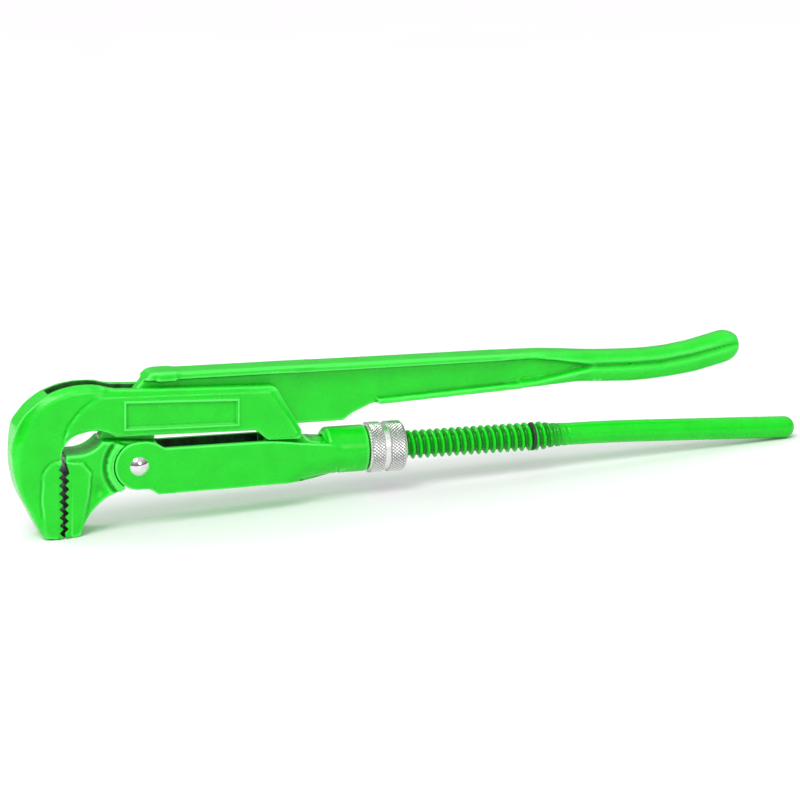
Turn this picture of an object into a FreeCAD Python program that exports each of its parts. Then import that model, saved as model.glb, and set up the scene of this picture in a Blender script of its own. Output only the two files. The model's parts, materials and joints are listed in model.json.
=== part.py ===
import FreeCAD, Part
import math
import os

import Sketcher
from FreeCAD import Placement, Rotation, Vector

# A corner pipe wrench with 90 degree jaws, for 40 mm pipe, in millimetres.
#
# Every piece is drawn about the pivot of the jaw: +X runs along the threaded leg towards
# the handle ends, +Z up, and Y = 0 is the wrench's middle plane. The threaded leg's axis is
# the X axis. At the end each piece gets the same stance, which stands the wrench on its
# jaw tips and on the end of the lower leg.

SIZES = [
    # hook jaw: heights from the leg's axis, lengths from the pivot
    ("jaw_depth", 25.7, "leg axis down to the flat jaw tips"),
    ("jaw_face", 29.7, "pivot to the tooth tips of the hook jaw"),
    ("jaw_thickness", 18.7, "tooth tips to the back of the hook jaw"),
    ("hook_height", 32.7, "leg axis to the top of the hook"),
    ("cheek_top", 30.2, "leg axis to the top of the cheeks above the pivot"),
    ("cheek_bottom", 12.2, "leg axis to the lower edge of the cheeks"),
    ("cheek_length", 65.0, "pivot to the rear end of the cheeks"),
    ("cheek_fall", 1.7, "how much lower the cheeks end than they start"),
    ("head_width", 18.0, "width over the cheeks and the jaws"),
    ("face_step", 0.35, "how far cheeks and jaw pads stand proud of the forging"),
    ("slot_width", 7.0, "gap between the cheeks"),
    ("bridge_front", 45.8, "pivot to the bridge that joins the cheeks"),
    ("bridge_bottom", 7.6, "leg axis to the underside of the bridge"),
    ("panel_length", 45.0, "name panel, left bare"),
    ("panel_height", 10.8, "name panel, left bare"),
    # teeth
    ("tooth_pitch", 3.1, "distance between teeth"),
    ("tooth_depth", 1.2, "depth of a tooth"),
    # lower leg
    ("shank_width", 12.0, "flat shank inside the frame"),
    ("shank_top", 5.2, "leg axis to the top of the flat shank"),
    ("shank_bottom", 5.4, "leg axis to the underside of the flat shank"),
    ("thread_crest", 11.3, "diameter over the thread"),
    ("thread_root", 8.4, "diameter in the thread's groove"),
    ("thread_pitch", 3.0, "right-hand thread"),
    ("thread_play", 0.3, "gap between the leg's and the nut's thread"),
    ("thread_length", 80.0, "full thread, from inside the socket"),
    ("runout_length", 12.0, "thread fading into the round bar"),
    ("bar_diameter", 8.8, "round lower handle"),
    ("bar_length", 96.0, "round lower handle, after the thread"),
    ("bar_bend", 2.3, "how far the round handle bends down, in degrees"),
    # frame
    ("pivot_rise", 0.7, "pivot above the leg's axis"),
    ("pivot_diameter", 6.4, "rivet's shank"),
    ("pivot_play", 0.05, "radial running play on the rivet"),
    ("rivet_head", 7.8, "diameter of the rivet's dome"),
    ("rivet_dome", 1.5, "height of the rivet's dome"),
    ("tongue_width", 12.0, "jaw tongue between the frame's cheeks"),
    ("tongue_gap", 0.2, "side play of the tongue and the shank"),
    ("frame_wall", 2.7, "thickness of the frame's cheeks"),
    ("frame_nose", 9.3, "radius of the frame's round front end"),
    ("frame_top", 7.1, "leg axis to the frame's upper edge"),
    ("frame_bottom", 10.9, "leg axis to the frame's underside"),
    ("frame_floor", 2.5, "thickness of the frame's floor"),
    ("socket_front", 74.0, "pivot to the front of the socket"),
    ("socket_length", 17.2, "length of the socket"),
    ("socket_diameter", 18.2, "outside of the socket"),
    ("socket_play", 0.35, "radial play of the thread in the socket"),
    # adjusting nut
    ("nut_gap", 0.5, "between the socket and the nut"),
    ("nut_length", 14.6, "adjusting nut"),
    ("nut_diameter", 19.8, "adjusting nut, over the knurl"),
    ("nut_groove_width", 2.6, "plain groove between the knurled bands"),
    ("nut_groove_depth", 0.6, "plain groove between the knurled bands"),
    ("nut_chamfer", 0.9, "chamfer at the nut's ends"),
    ("spigot_diameter", 15.2, "the socket's spigot inside the nut"),
    ("spigot_length", 8.6, "the socket's spigot inside the nut"),
    ("spigot_play", 0.08, "radial running play of the nut on the spigot"),
    ("ring_wire", 1.4, "wire of the ring that holds the nut"),
    ("ring_play", 0.1, "play of the wire in its grooves"),
    ("feed_hole", 1.8, "hole through which the ring is fed in"),
    # stop ring
    ("stop_section", 1.9, "rubber stop ring, section"),
    ("stop_place", 160.2, "pivot to the rubber stop ring"),
    # inner jaw and upper handle
    ("jaw_gap_low", 0.8, "between the tooth tips at the jaw tips"),
    ("jaw_gap_high", 1.8, "between the tooth tips at the throat"),
    ("inner_jaw_width", 18.0, "width of the inner jaw"),
    ("collar_gap", 0.35, "between the shoulder and the frame's nose"),
    ("web_gap", 0.3, "side play of the handle's web in the slot"),
    ("beam_top", 35.8, "leg axis to the top of the upper handle"),
    ("beam_front", 0.0, "pivot to the foot of the handle's slanted front"),
    ("beam_under", 12.0, "leg axis to the web's lower edge"),
    ("beam_deep", 17.0, "how far past the cheeks the web stays deep"),
    ("flange_width", 12.0, "width of the handle's flanges"),
    ("flange_thickness", 2.4, "thickness of the handle's flanges"),
    ("handle_height", 14.6, "height of the upper handle behind the deep web"),
    ("grip_start", 160.0, "pivot to the start of the grip"),
    ("grip_length", 86.0, "grip"),
    ("grip_width", 14.0, "grip"),
    ("grip_height", 12.0, "grip"),
]


class Size:
    """A number together with the sheet's expression for it."""

    def __init__(self, value, text=None):
        self.value = float(value)
        self.text = text or "%.6g" % value

    def _join(self, other, sign, value):
        return Size(value, "(%s %s %s)" % (self.text, sign, other.text))

    def __add__(self, other):
        other = as_size(other)
        return self._join(other, "+", self.value + other.value)

    def __sub__(self, other):
        other = as_size(other)
        return self._join(other, "-", self.value - other.value)

    def __mul__(self, other):
        other = as_size(other)
        return self._join(other, "*", self.value * other.value)

    def __truediv__(self, other):
        other = as_size(other)
        return self._join(other, "/", self.value / other.value)

    def __neg__(self):
        return as_size(0) - self

    def __radd__(self, other):
        return as_size(other) + self

    def __rsub__(self, other):
        return as_size(other) - self

    def __rmul__(self, other):
        return as_size(other) * self


def as_size(number):
    return number if isinstance(number, Size) else Size(number)


doc = FreeCAD.newDocument("pipe_wrench")
sheet = doc.addObject("Spreadsheet::Sheet", "sizes")
dim = {}
for row, (alias, number, meaning) in enumerate(SIZES, start=1):
    sheet.set("A%d" % row, meaning)
    sheet.set("B%d" % row, str(number))
    sheet.setAlias("B%d" % row, alias)
    dim[alias] = Size(number, "sizes.%s" % alias)
doc.recompute()


def new_body(label):
    body = doc.addObject("PartDesign::Body", label)
    body.Label = label
    return body


def origin_part(body, role):
    return next(item for item in body.Origin.OriginFeatures if item.Role == role)


def bind(item, prop, size):
    """Tie a property to the sheet."""
    size = as_size(size)
    setattr(item, prop, size.value)
    if "sizes." in size.text:
        item.setExpression(prop, size.text)


def new_sketch(body, name, plane="XZ_Plane", offset=None):
    sketch = body.newObject("Sketcher::SketchObject", name)
    sketch.AttachmentSupport = (origin_part(body, plane), [""])
    sketch.MapMode = "FlatFace"
    if offset is not None:
        sketch.AttachmentOffset = Placement(Vector(0, 0, as_size(offset).value), Rotation())
        sketch.setExpression("AttachmentOffset.Base.z", as_size(offset).text)
    return sketch


def hold(sketch, kind, *where):
    """Add a dimension whose last argument is a size, tied to the sheet."""
    size = as_size(where[-1])
    index = sketch.addConstraint(Sketcher.Constraint(kind, *where[:-1], size.value))
    if "sizes." in size.text:
        sketch.setExpression("Constraints[%d]" % index, size.text)


def outline(sketch, corners):
    """Draw a closed outline. A corner is (along, up) or (along, up, radius): the radius
    bends the stretch to the next corner, with its centre left of the way when positive."""
    flat = [tuple(as_size(number) for number in corner[:2]) for corner in corners]
    first = sketch.GeometryCount
    ends = []
    for index, corner in enumerate(corners):
        here = Vector(flat[index][0].value, flat[index][1].value, 0)
        after = flat[(index + 1) % len(flat)]
        there = Vector(after[0].value, after[1].value, 0)
        if len(corner) == 2:
            sketch.addGeometry(Part.LineSegment(here, there), False)
            ends.append((1, 2))
            continue
        radius = as_size(corner[2]).value
        span = there - here
        side = Vector(-span.y, span.x, 0).normalize()
        rise = math.sqrt(max(radius ** 2 - (span.Length / 2) ** 2, 0.0))
        centre = here + span * 0.5 + side * (rise if radius > 0 else -rise)
        start, stop = (here, there) if radius > 0 else (there, here)
        angles = [math.atan2(end.y - centre.y, end.x - centre.x) for end in (start, stop)]
        circle = Part.Circle(centre, Vector(0, 0, 1), abs(radius))
        sketch.addGeometry(Part.ArcOfCircle(circle, angles[0], angles[1]), False)
        ends.append((1, 2) if radius > 0 else (2, 1))
    count = len(corners)
    for index in range(count):
        after = (index + 1) % count
        sketch.addConstraint(Sketcher.Constraint(
            "Coincident", first + index, ends[index][1], first + after, ends[after][0]))
    for index, corner in enumerate(corners):
        place = (-1, 1, first + index, ends[index][0])
        hold(sketch, "DistanceX", *place, flat[index][0])
        hold(sketch, "DistanceY", *place, flat[index][1])
        if len(corner) == 3:
            size = as_size(corner[2])
            hold(sketch, "Radius", first + index, size if size.value > 0 else -size)


def circle(sketch, along, up, radius):
    along, up, radius = as_size(along), as_size(up), as_size(radius)
    index = sketch.addGeometry(
        Part.Circle(Vector(along.value, up.value, 0), Vector(0, 0, 1), radius.value), False)
    hold(sketch, "DistanceX", -1, 1, index, 3, along)
    hold(sketch, "DistanceY", -1, 1, index, 3, up)
    hold(sketch, "Radius", index, radius)


def slab(body, name, corners, width, cut=False):
    """An outline in the wrench's middle plane, as wide as given, added or cut away."""
    sketch = new_sketch(body, name + "_outline")
    for ring in corners if isinstance(corners[0], list) else [corners]:
        outline(sketch, ring)
    feature = body.newObject("PartDesign::Pocket" if cut else "PartDesign::Pad", name)
    feature.Profile = sketch
    feature.Midplane = True
    bind(feature, "Length", width)
    sketch.Visibility = False
    doc.recompute()
    return feature


def turned(body, name, corners, cut=False, axis="X_Axis", plane="XZ_Plane"):
    """A profile turned about an axis of the body, added or cut away."""
    sketch = new_sketch(body, name + "_profile", plane)
    outline(sketch, corners)
    feature = body.newObject("PartDesign::Groove" if cut else "PartDesign::Revolution", name)
    feature.Profile = sketch
    feature.ReferenceAxis = (origin_part(body, axis), [""])
    feature.Angle = 360
    doc.recompute()
    return feature


def thread_cut(body, name, start, length, corners):
    """A helical groove about the leg's axis, right-handed, from start towards +X."""
    sketch = new_sketch(body, name + "_profile")
    outline(sketch, corners)
    feature = body.newObject("PartDesign::SubtractiveHelix", name)
    feature.Profile = sketch
    feature.ReferenceAxis = (origin_part(body, "X_Axis"), [""])
    feature.Mode = 0
    bind(feature, "Pitch", dim["thread_pitch"])
    bind(feature, "Height", length)
    doc.recompute()
    return feature


def rounded(body, base, name, radius, wanted):
    """Round the edges of a feature whose middle points pass the test."""
    names = ["Edge%d" % (index + 1) for index, edge in enumerate(base.Shape.Edges)
             if wanted(edge.CenterOfMass, edge)]
    feature = body.newObject("PartDesign::Fillet", name)
    feature.Base = (base, names)
    bind(feature, "Radius", radius)
    doc.recompute()
    return feature


d = dim
side_plain = d["head_width"] - 2 * d["face_step"]
frame_inside = d["tongue_width"] + 2 * d["tongue_gap"]
frame_width = frame_inside + 2 * d["frame_wall"]
web_width = d["slot_width"] - 2 * d["web_gap"]
socket_end = d["socket_front"] + d["socket_length"]
nut_start = socket_end + d["nut_gap"]
nut_end = nut_start + d["nut_length"]
thread_start = d["socket_front"] + 10
thread_end = thread_start + d["thread_length"]
bar_start = thread_end + d["runout_length"]
crest = d["thread_crest"] / 2
root = d["thread_root"] / 2
bar = d["bar_diameter"] / 2
bore = crest + d["socket_play"]
back = d["jaw_face"] + d["jaw_thickness"]
eye = d["frame_nose"] - 0.4


def groove_profile(at, low, high, half_root, half_crest):
    """Section of the thread's groove: a round bottom and flanks that round over the crest."""
    middle = (low + high) / 2
    half_middle = (half_root + half_crest) * 0.425
    drop = (high - low) / 2
    hollow = (half_middle * half_middle + drop * drop) / (2 * drop)
    return [
        (at - half_crest, high, -1.4),
        (at - half_middle, middle, hollow),
        (at + half_middle, middle, -1.4),
        (at + half_crest, high),
    ]


# ---- hook jaw with its cheeks and the threaded lower leg -------------------------------

def hook_outline():
    tip, top, end = d["jaw_depth"], d["hook_height"], d["cheek_length"]
    face, under = d["jaw_face"], d["cheek_bottom"]
    return [
        (-face, -tip),
        (-face, 5, -9),
        (-face + 8, 14.6, -14),
        (-face + 21, under + 0.4),
        (d["bridge_front"], under - 0.6),
        (d["bridge_front"] + 4.8, d["bridge_bottom"]),
        (end - 2, d["bridge_bottom"] - 0.4, 2.6),
        (end - 1, d["bridge_bottom"] + 3.2),
        (end - 9.5, d["cheek_top"] - d["cheek_fall"] - 3, 4),
        (end - 14, d["cheek_top"] - d["cheek_fall"]),
        (0, d["cheek_top"]),
        (-8, d["cheek_top"] + 0.4, -26),
        (-14, top - 0.6, 34),
        (-32, top - 2.2, 30),
        (-back + 2, 18, 42),
        (-back + 3.6, -9.5),
        (-back + 11, -tip + 1.2, 2),
        (-back + 12.6, -tip),
    ]


def cheek_plate():
    top, end = d["cheek_top"], d["cheek_length"]
    fall = d["cheek_fall"]
    return [
        (-28.4, 13.6, -24),
        (-13, top - 2.2),
        (end - 13.5, top - fall - 2.2),
        (end - 3, d["bridge_bottom"] + 2.6),
        (end - 4, d["bridge_bottom"] + 1),
        (d["bridge_front"] + 5.5, d["bridge_bottom"] + 1),
        (d["bridge_front"], d["cheek_bottom"] + 0.2),
        (-8, d["cheek_bottom"] + 1.4),
        (-15, 16),
        (-23, 16),
    ]


def hook_pad():
    face, tip = d["jaw_face"], d["jaw_depth"]
    return [
        (-face - 6.6, -tip + 0.4),
        (-face - 0.2, -tip + 0.4),
        (-face - 0.2, 4.6, 10),
        (-face - 7, 0),
        (-face - 8, -10),
    ]


def teeth(base_low, base_high, low, depth, direction):
    """A saw-tooth outline from low upwards; its closed side lies beyond the tooth tips."""
    corners = []
    count = 9
    for index in range(count):
        share = index / count
        tip = base_low + (base_high - base_low) * share
        here = low + d["tooth_pitch"] * index
        corners.append((tip, here))
        corners.append((tip + depth * direction, here + d["tooth_pitch"] * 0.4))
    corners.append((base_high, low + d["tooth_pitch"] * count))
    corners.append((base_high - direction * 4, low + d["tooth_pitch"] * count))
    corners.append((base_low - direction * 4, low))
    return corners


def make_hook_jaw_leg():
    body = new_body("hook_jaw_leg")
    slab(body, "forging", hook_outline(), side_plain)
    slab(body, "cheek_plates", [cheek_plate(), hook_pad()], d["head_width"])
    slab(body, "name_panel", [
        (-5.8, 15.0), (-5.8 + d["panel_length"], 14.2),
        (-5.8 + d["panel_length"], 14.2 + d["panel_height"]), (-5.8, 15.6 + d["panel_height"]),
    ], d["head_width"] + 0.5)
    slab(body, "slot", [
        (-34, 40), (-34, 31), (-25, 6), (d["bridge_front"] + 1, 6),
        (d["bridge_front"] + 1.5, d["beam_under"] - d["web_gap"]),
        (d["cheek_length"] + 5, d["beam_under"] - d["web_gap"]), (d["cheek_length"] + 5, 40),
    ], d["slot_width"], cut=True)
    slab(body, "hook_teeth", teeth(-d["jaw_face"], -d["jaw_face"], -d["jaw_depth"] + 0.6,
                                   d["tooth_depth"], -1), d["head_width"] + 2, cut=True)
    slab(body, "shank", [
        (d["bridge_front"] + 4, -d["shank_bottom"]),
        (d["socket_front"] - 4, -d["shank_bottom"]),
        (d["socket_front"] - 1, -crest + 0.6),
        (d["socket_front"] - 1, d["shank_top"] - 0.6),
        (d["cheek_length"] + 5.5, d["shank_top"], -6),
        (d["cheek_length"] - 0.7, d["shank_top"] + 5),
        (d["cheek_length"] - 4, d["cheek_bottom"] - 0.5),
        (d["bridge_front"] + 4, d["bridge_bottom"] + 2),
    ], d["shank_width"])
    turned(body, "round_leg", [
        (d["socket_front"] - 9, 0), (d["socket_front"] - 9, root), (d["socket_front"] - 2, crest),
        (thread_end, crest), (thread_end + 4, bar + 0.35), (bar_start, bar), (bar_start, 0),
    ])
    bend = body.newObject("PartDesign::Revolution", "leg_bend")
    section = new_sketch(body, "bend_section", "YZ_Plane", bar_start)
    circle(section, 0, 0, bar)
    outline_axis = section.addGeometry(Part.LineSegment(
        Vector(-20, -bend_radius.value, 0), Vector(20, -bend_radius.value, 0)), True)
    hold(section, "DistanceX", -1, 1, outline_axis, 1, -20)
    hold(section, "DistanceX", -1, 1, outline_axis, 2, 20)
    hold(section, "DistanceY", -1, 1, outline_axis, 1, -bend_radius)
    hold(section, "DistanceY", -1, 1, outline_axis, 2, -bend_radius)
    doc.recompute()
    bend.Profile = section
    bend.ReferenceAxis = (section, ["Axis0"])
    bind(bend, "Angle", d["bar_bend"])
    doc.recompute()
    turn = math.radians(d["bar_bend"].value)
    straight = body.newObject("PartDesign::AdditiveCylinder", "leg_end")
    bind(straight, "Radius", bar)
    bind(straight, "Height", d["bar_length"] - bend_length)
    corner = Vector(bar_start.value + bend_radius.value * math.sin(turn), 0,
                    -bend_radius.value * (1 - math.cos(turn)))
    along = Vector(math.cos(turn), 0, -math.sin(turn))
    straight.AttachmentSupport = (origin_part(body, "XY_Plane"), [""])
    straight.MapMode = "FlatFace"
    straight.AttachmentOffset = Placement(corner, Rotation(Vector(0, 0, 1), along))
    doc.recompute()
    far = corner + along * straight.Height.Value
    rounded(body, straight, "leg_tip", bar * 0.94,
            lambda at, edge: at.distanceToPoint(far) < 0.5 and len(edge.Vertexes) == 1)
    thread_cut(body, "thread", thread_start, d["thread_length"] + d["runout_length"],
               groove_profile(thread_start, root, crest + 0.05, 0.5, 1.42))
    return body


# ---- inner jaw with the upper handle ---------------------------------------------------

def inner_jaw_outline():
    """The jaw's block in front of the round shoulder."""
    low = -(d["jaw_face"] - d["jaw_gap_low"])
    high = -(d["jaw_face"] - d["jaw_gap_high"])
    rise = d["pivot_rise"]
    hollow = d["frame_nose"] + d["collar_gap"]
    return [
        (low + 5.8, -d["jaw_depth"] + 0.5),
        (low + 8.4, -19.4, -24),
        (-11.4, -10.4, -30),
        (-7.4, rise - 9.9),
        (-0.5 * hollow, rise - 0.866 * hollow, -hollow),
        (-0.54 * hollow, rise + 0.8417 * hollow),
        (-9.6, 10.5),
        (-13.8, 10.9, -12),
        (-22.5, 6.3),
        (high, 6.3),
        (low, -d["jaw_depth"] + 0.1),
    ]


def inner_pad():
    low = -(d["jaw_face"] - d["jaw_gap_low"])
    return [
        (low + 0.3, -d["jaw_depth"] + 0.8),
        (low + 5.4, -d["jaw_depth"] + 0.9),
        (low + 9.3, -8),
        (low + 9.9, -1, 5),
        (low + 6, 3.2),
        (low + 1.6, 3.8),
    ]


def tongue_outline():
    """The tongue between the frame's cheeks, up to where the neck gets as thin as the web."""
    rise = d["pivot_rise"]
    return [
        (-12, rise - 5), (-6, rise - 7), (0, rise - 7), (7.4, rise), (7.4, 9.2), (-13, 10.8),
    ]


def beam_outline():
    """Neck, deep web and the handle's beam up to the grip."""
    top, under = d["beam_top"], d["beam_under"]
    end = d["cheek_length"] + d["beam_deep"]
    low = top - d["handle_height"]
    return [
        (-12, 6),
        (7.4, 6),
        (7.4, under),
        (end, under),
        (end + 4, under + 2.8),
        (end + 10.5, low - 3.6, -12),
        (end + 18, low - 3),
        (d["grip_start"] + 12, low + 0.2),
        (d["grip_start"] + 12, top - 1),
        (8, top, 3),
        (4.6, top - 1.4),
        (d["beam_front"] - 0.6, top - 7.4, 60),
        (-14.2, 11.6),
    ]


def flange_rings():
    top, thick = d["beam_top"], d["flange_thickness"]
    end = d["grip_start"] + 12
    low = d["cheek_length"] + d["beam_deep"] + 13
    bottom = top - d["handle_height"]
    upper = [
        (3, top - thick - 0.6), (end, top - 1 - thick), (end, top - 1), (8, top, 3), (4.6, top - 1.4),
    ]
    lower = [
        (low + 0.8, bottom - 3.2), (low + 5, bottom - 3), (end, bottom + 0.2),
        (end, bottom + 0.2 + thick), (low, bottom - 1),
    ]
    return [upper, lower]


def grip_outline():
    """The grip dips behind the hand and lifts at its end."""
    start = d["grip_start"]
    top = d["beam_top"] - 0.9
    low = d["beam_top"] - d["handle_height"]
    end = start + d["grip_length"]
    high = d["grip_height"]
    return [
        (start, low - 0.4),
        (start + 17, low + 0.4, 60),
        (start + 30, low - 0.2, -50),
        (start + 43, low - 0.7, -150),
        (end - 5, top - high + 3.2, 6.8),
        (end - 7.5, top + 3, -70),
        (start + 42, top - 2, -70),
        (start + 26, top - 1.2, 50),
        (start + 10, top),
        (start, top),
    ]


def make_inner_jaw_leg():
    body = new_body("inner_jaw_leg")
    rise = d["pivot_rise"]
    slab(body, "jaw", inner_jaw_outline(), d["inner_jaw_width"] - 2 * d["face_step"])
    slab(body, "jaw_pad", inner_pad(), d["inner_jaw_width"])
    slab(body, "jaw_teeth", teeth(
        -d["jaw_face"] + d["jaw_gap_low"], -d["jaw_face"] + d["jaw_gap_high"],
        -d["jaw_depth"] + 0.7, d["tooth_depth"], 1), d["head_width"] + 2, cut=True)
    slab(body, "tongue", tongue_outline(), d["tongue_width"])
    eye_plan = new_sketch(body, "eye_outline")
    circle(eye_plan, 0, rise, eye)
    eye_pad = body.newObject("PartDesign::Pad", "eye")
    eye_pad.Profile = eye_plan
    eye_pad.Midplane = True
    bind(eye_pad, "Length", d["tongue_width"])
    doc.recompute()
    slab(body, "beam", beam_outline(), web_width)
    slab(body, "flanges", flange_rings(), d["flange_width"])
    slab(body, "grip", grip_outline(), d["grip_width"])
    slab(body, "thumb_pad", [
        (7.8, d["beam_top"] - 3.4), (15.4, d["beam_top"] - 3.4),
        (15.4, d["beam_top"] + 0.4), (7.8, d["beam_top"] + 0.4),
    ], d["flange_width"] + 1.2)
    hole_plan = new_sketch(body, "pivot_hole_outline")
    circle(hole_plan, 0, rise, d["pivot_diameter"] / 2 + d["pivot_play"])
    hole = body.newObject("PartDesign::Pocket", "pivot_hole")
    hole.Profile = hole_plan
    hole.Midplane = True
    bind(hole, "Length", d["tongue_width"] + 2)
    doc.recompute()
    return body


# ---- frame ------------------------------------------------------------------------------

def frame_outline():
    nose, rise = d["frame_nose"], d["pivot_rise"]
    top, bottom = d["frame_top"], d["frame_bottom"]
    front, half = d["socket_front"], d["socket_diameter"] / 2
    return [
        (0, rise - nose),
        (4, rise - nose),
        (7.4, -bottom),
        (front - 11, -bottom + 0.8, 60),
        (front + 5, -half),
        (front + 5, 3),
        (front + 1, 4.4),
        (front - 11, top - 1.5, 120),
        (front - 25, top),
        (10, top),
        (6.4, rise + nose - 0.6),
        (3.5, rise + nose),
        (0, rise + nose, nose),
        (-nose, rise, nose),
    ]


def make_frame():
    body = new_body("frame")
    rise, nose = d["pivot_rise"], d["frame_nose"]
    half, front = d["socket_diameter"] / 2, d["socket_front"]
    floor = -d["frame_bottom"] + d["frame_floor"]
    slab(body, "cheeks", frame_outline(), frame_width)
    turned(body, "socket", [
        (front, 0), (front, half - 1.6), (front + 1.6, half), (socket_end - 0.5, half),
        (socket_end, half - 0.5), (socket_end, d["spigot_diameter"] / 2),
        (socket_end + d["spigot_length"], d["spigot_diameter"] / 2),
        (socket_end + d["spigot_length"], 0),
    ])
    slab(body, "channel", [
        (-nose - 2, -nose - 6), (7, -nose - 6), (12, floor), (front - 10, floor + 0.4),
        (front - 1, -bore), (front - 1, bore), (front - 1, 20), (-nose - 2, 20),
    ], frame_inside, cut=True)
    turned(body, "bore", [
        (front - 3, 0), (front - 3, bore), (socket_end + d["spigot_length"] + 1, bore),
        (socket_end + d["spigot_length"] + 1, 0),
    ], cut=True)
    turned(body, "ring_groove", [
        (ring_place - ring_room, spigot - ring_room), (ring_place + ring_room, spigot - ring_room),
        (ring_place + ring_room, spigot + 1), (ring_place - ring_room, spigot + 1),
    ], cut=True)
    hole_plan = new_sketch(body, "pivot_hole_outline")
    circle(hole_plan, 0, rise, d["pivot_diameter"] / 2)
    hole = body.newObject("PartDesign::Pocket", "pivot_hole")
    hole.Profile = hole_plan
    hole.Midplane = True
    bind(hole, "Length", frame_width + 4)
    doc.recompute()
    return body


# ---- adjusting nut and the rings ----------------------------------------------------------

def make_adjusting_nut():
    body = new_body("adjusting_nut")
    radius, edge = d["nut_diameter"] / 2, d["nut_chamfer"]
    low = radius - d["nut_groove_depth"]
    middle = (nut_start + nut_end) / 2 - 0.4
    half_groove = d["nut_groove_width"] / 2
    minor = root + d["thread_play"]
    skirt = spigot + d["spigot_play"]
    deep = nut_start - d["nut_gap"] + d["spigot_length"] + 0.3
    turned(body, "turning", [
        (nut_start, skirt), (nut_start, radius - edge), (nut_start + edge, radius),
        (middle - half_groove, radius), (middle - half_groove + 0.4, low),
        (middle + half_groove - 0.4, low), (middle + half_groove, radius),
        (nut_end - edge, radius), (nut_end, radius - edge), (nut_end, crest + 0.2),
        (nut_end - 1, minor), (deep, minor), (deep, skirt),
    ])
    turned(body, "ring_groove", [
        (ring_place - ring_room, skirt - 0.5), (ring_place + ring_room, skirt - 0.5),
        (ring_place + ring_room, spigot + ring_room), (ring_place - ring_room, spigot + ring_room),
    ], cut=True)
    feed_plan = new_sketch(body, "feed_hole_outline", "XY_Plane")
    circle(feed_plan, ring_place, 0, d["feed_hole"] / 2)
    feed = body.newObject("PartDesign::Pocket", "feed_hole_cut")
    feed.Profile = feed_plan
    feed.Reversed = True
    bind(feed, "Length", radius + 1)
    doc.recompute()
    turns = ((deep - 3 - thread_start) / d["thread_pitch"]).value
    begin = thread_start + d["thread_pitch"] * (math.floor(turns) + 0.5)
    thread_cut(body, "nut_thread", begin, nut_end - begin + 6,
               [(begin - 1.15, minor - 0.3), (begin + 1.15, minor - 0.3),
                (begin + 0.45, crest + d["thread_play"]), (begin - 0.45, crest + d["thread_play"])])
    return body


def make_wire_ring(label, place, radius, wire):
    body = new_body(label)
    plan = new_sketch(body, label + "_section")
    circle(plan, place, radius, wire / 2)
    ring = body.newObject("PartDesign::Revolution", label + "_turning")
    ring.Profile = plan
    ring.ReferenceAxis = (origin_part(body, "X_Axis"), [""])
    ring.Angle = 360
    doc.recompute()
    return body


def make_pivot_rivet():
    body = new_body("pivot_rivet")
    half, shank = frame_width / 2, d["pivot_diameter"] / 2
    head, dome = d["rivet_head"] / 2, d["rivet_dome"]
    radius = (head * head + dome * dome) / (2 * dome)
    plan = new_sketch(body, "rivet_profile", "YZ_Plane")
    outline(plan, [
        (-half - dome, d["pivot_rise"]), (half + dome, d["pivot_rise"], radius),
        (half, d["pivot_rise"] + head), (half, d["pivot_rise"] + shank),
        (-half, d["pivot_rise"] + shank), (-half, d["pivot_rise"] + head, radius),
    ])
    rivet = body.newObject("PartDesign::Revolution", "rivet")
    rivet.Profile = plan
    rivet.ReferenceAxis = (plan, ["Edge1"])
    rivet.Angle = 360
    doc.recompute()
    return body


bend_radius = as_size(720)
bend_length = bend_radius * d["bar_bend"] * (math.pi / 180)
spigot = d["spigot_diameter"] / 2
ring_place = (nut_start + nut_end) / 2 - 0.4
ring_room = d["ring_wire"] / 2 + d["ring_play"]

pieces = [
    make_hook_jaw_leg(),
    make_inner_jaw_leg(),
    make_frame(),
    make_adjusting_nut(),
    make_pivot_rivet(),
    make_wire_ring("nut_retaining_ring", ring_place, spigot, d["ring_wire"]),
    make_wire_ring("stop_o_ring", d["stop_place"], root + d["stop_section"] / 2,
                   d["stop_section"]),
]


# ---- stance, checks and files ---------------------------------------------------------------

def stance():
    """Tilt the leg so that the jaw tips and the end of the lower leg touch the floor, with
    the origin under the middle of the wrench."""
    turn = math.radians(d["bar_bend"].value)
    heel = Vector(bar_start.value + bend_radius.value * math.sin(turn), 0,
                  -bend_radius.value * (1 - math.cos(turn)))
    heel += Vector(math.cos(turn), 0, -math.sin(turn)) * (d["bar_length"] - bend_length - bar).value
    toe = Vector(-d["jaw_face"].value, 0, -d["jaw_depth"].value)
    tilt = 0.0
    for _ in range(20):
        low = heel - Vector(math.sin(tilt), 0, math.cos(tilt)) * bar.value
        tilt = math.atan2(low.z - toe.z, low.x - toe.x)
    turned_toe = Rotation(Vector(0, 1, 0), math.degrees(tilt)).multVec(toe)
    return Rotation(Vector(0, 1, 0), math.degrees(tilt)), -turned_toe.z


rotation, lift = stance()
for body in pieces:
    body.Placement = Placement(Vector(0, 0, lift), rotation)
doc.recompute()
boxes = [body.Shape.optimalBoundingBox(False) for body in pieces]
middle_x = (min(box.XMin for box in boxes) + max(box.XMax for box in boxes)) / 2
lowest = min(box.ZMin for box in boxes)
for body in pieces:
    body.Placement = Placement(Vector(-middle_x, 0, lift - lowest), rotation)
doc.recompute()

for item in doc.Objects:
    if "Invalid" in item.State or "Error" in item.State:
        raise RuntimeError("%s failed: %s" % (item.Name, item.State))
for body in pieces:
    if body.Shape.isNull() or not body.Shape.isValid() or len(body.Shape.Solids) != 1:
        raise RuntimeError("%s is not one valid solid" % body.Label)

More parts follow.
